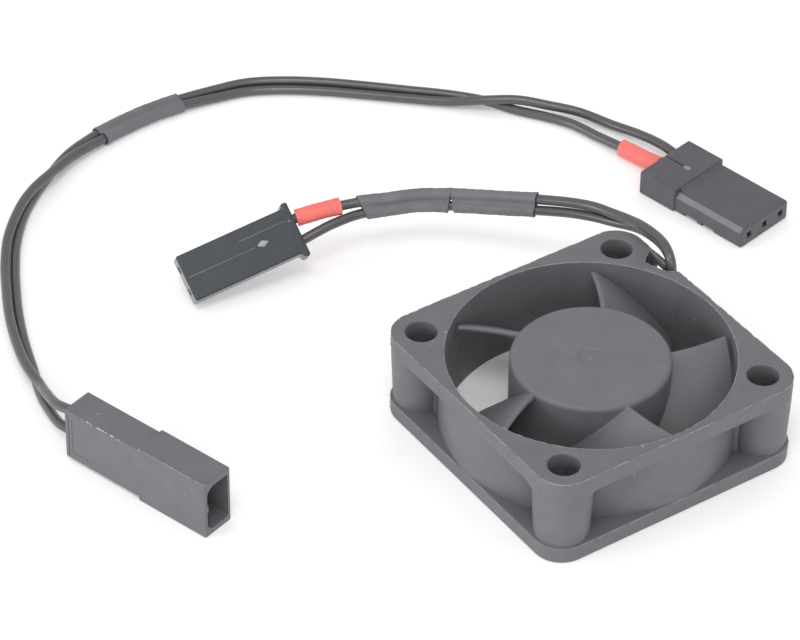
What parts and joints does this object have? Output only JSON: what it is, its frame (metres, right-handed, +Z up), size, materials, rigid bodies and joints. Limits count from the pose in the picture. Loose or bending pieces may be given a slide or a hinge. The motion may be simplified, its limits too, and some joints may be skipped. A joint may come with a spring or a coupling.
{
  "type": "axial cooling fan with extension lead",
  "caption": "Small square axial cooling fan with a moulded frame, a spinning impeller over its stator, a short wire lead with a plug, and a loose extension lead that ends in a servo-type plug.",
  "frame": {"origin": "centre of the fan frame's underside, on the rotor's axis", "axes": "+Z up along the rotor's axis towards the open face, +X and +Y square to the frame's sides"},
  "size_m": [0.0836, 0.0851, 0.0117],
  "materials": {
    "frame_plastic": "fine moulded texture",
    "rotor_plastic": "fine moulded texture",
    "plug_plastic": "moulded",
    "wire_jacket": "soft sheen",
    "grey_tubing": "shrunk tubing",
    "red_tubing": "shrunk tubing",
    "label_film": "plain label film",
    "board_laminate": "solder mask",
    "white_nylon": "moulded",
    "chip_epoxy": "moulded",
    "ceramic": "fired ceramic",
    "steel": "ground",
    "laminated_steel": "stamped sheets",
    "bronze": "sintered",
    "copper": "enamelled wire",
    "magnet": "bonded ferrite",
    "tin": "tinned",
    "gold": "flash gilt"
  },
  "bodies": {
    "fan": {"fan_frame": "frame_plastic", "base_label": "label_film", "bearing_sleeve": "bronze", "stator_core": "laminated_steel", "insulator_lower": "white_nylon", "insulator_upper": "white_nylon", "coil_1": "copper", "coil_2": "copper", "coil_3": "copper", "coil_4": "copper", "circuit_board": "board_laminate", "driver_chip": "chip_epoxy", "board_capacitor": "ceramic", "solder_joint_negative": "tin", "solder_joint_positive": "tin", "fan_wire_negative": "wire_jacket", "fan_wire_positive": "wire_jacket", "fan_sleeve_near_fan": "grey_tubing", "fan_sleeve_near_plug": "grey_tubing", "fan_red_sleeve": "red_tubing", "fan_plug_housing": "plug_plastic", "fan_contact_negative": "tin", "fan_contact_positive": "tin"},
    "rotor": {"impeller": "rotor_plastic", "rotor_yoke": "steel", "rotor_magnet": "magnet", "rotor_shaft": "steel", "shaft_clip": "white_nylon", "thrust_washer": "white_nylon"},
    "extension_lead": {"lead_wire_negative": "wire_jacket", "lead_wire_positive": "wire_jacket", "lead_grey_sleeve": "grey_tubing", "lead_red_sleeve": "red_tubing", "lead_socket_housing": "plug_plastic", "lead_pin_negative": "gold", "lead_pin_positive": "gold", "servo_plug_housing": "plug_plastic", "servo_contact_negative": "tin", "servo_contact_positive": "tin"}
  },
  "joints": [
    {"name": "rotor_spin", "type": "hinge", "parent": "fan", "child": "rotor", "pos_m": [0, 0, 0.005], "axis": [0, 0, 1], "continuous": true},
    {"name": "lead_lift", "type": "slide", "parent": "fan", "child": "extension_lead", "axis": [0, 0, 1], "range_m": [0, 0.03]}
  ]
}
